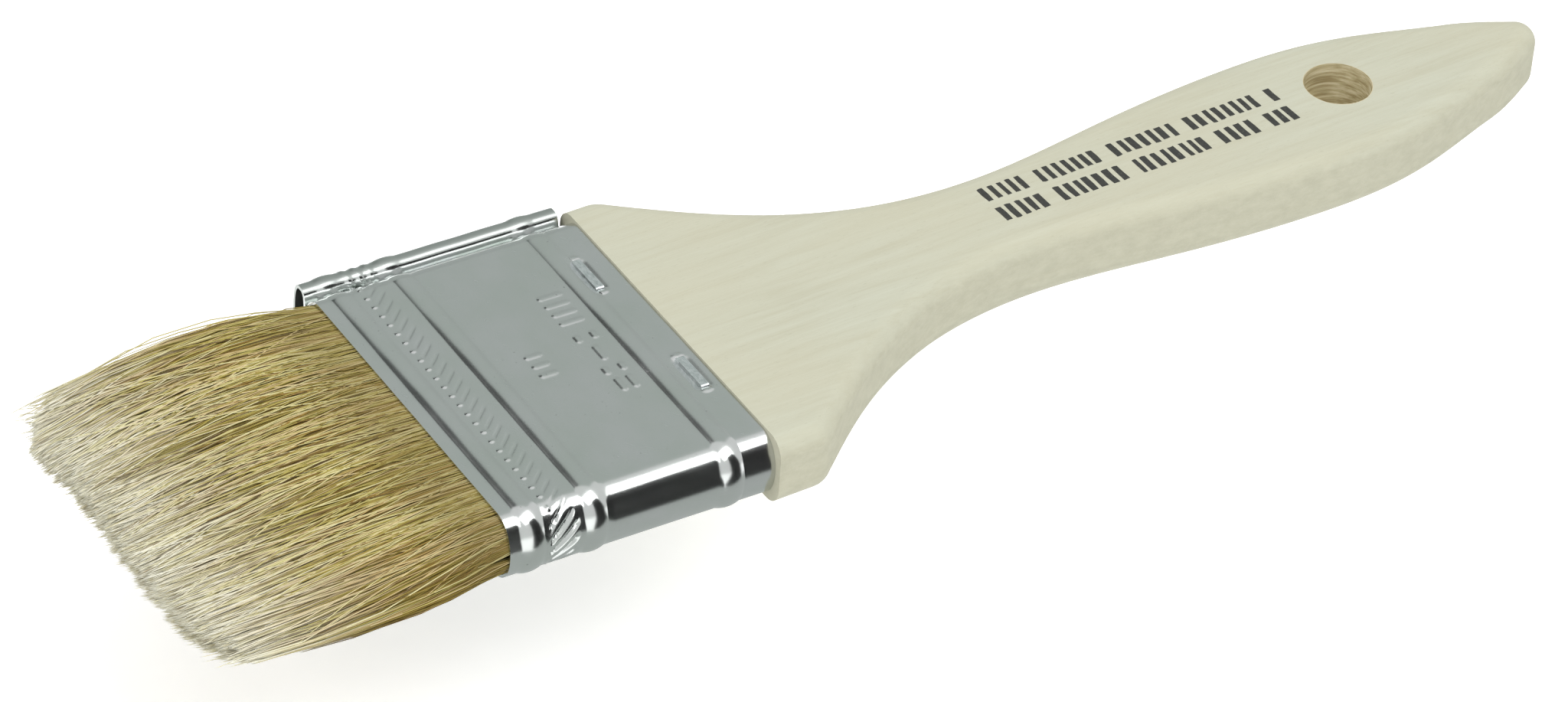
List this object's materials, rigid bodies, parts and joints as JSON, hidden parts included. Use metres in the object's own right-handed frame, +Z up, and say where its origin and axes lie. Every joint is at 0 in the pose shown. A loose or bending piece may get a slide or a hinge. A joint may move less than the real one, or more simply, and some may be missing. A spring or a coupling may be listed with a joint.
{
  "type": "flat paint brush",
  "caption": "Flat bristle paint brush: wooden handle with a hang hole, beaded tinplate ferrule stapled to it, and a bristle tuft that flexes at the ferrule.",
  "frame": {"origin": "under the middle of the whole brush, on the plane it lies on", "axes": "+X across the width, with the ferrule's lock seam at -X; +Y along the handle, towards the hang hole; +Z up, out of the front face"},
  "size_m": [0.0565, 0.2087, 0.0096],
  "materials": {
    "handle_wood": "unfinished pale hardwood, sanded",
    "tinplate": "bright tinplate, satin on the flats and mirror-like on the bends",
    "staple_wire": "galvanised flat wire",
    "plug_wood": "raw softwood strip",
    "resin": "cured amber resin",
    "bristle": "natural hog bristle, golden tan with pale split tips"
  },
  "bodies": {
    "brush": {"handle": "handle_wood", "ferrule": "tinplate", "staple_front_left": "staple_wire", "staple_front_right": "staple_wire", "staple_back_left": "staple_wire", "staple_back_right": "staple_wire", "spacer_plug": "plug_wood", "resin_setting": "resin", "bristle_roots_front": "bristle", "bristle_roots_back": "bristle"},
    "tuft": {"bristles_front": "bristle", "bristles_back": "bristle"}
  },
  "joints": [
    {"name": "bristle_flex", "type": "hinge", "parent": "brush", "child": "tuft", "pos_m": [0, -0.06495, 0.0048], "axis": [1, 0, 0], "range_deg": [-35, 35], "stiffness_Nm_per_rad": 0.08}
  ]
}
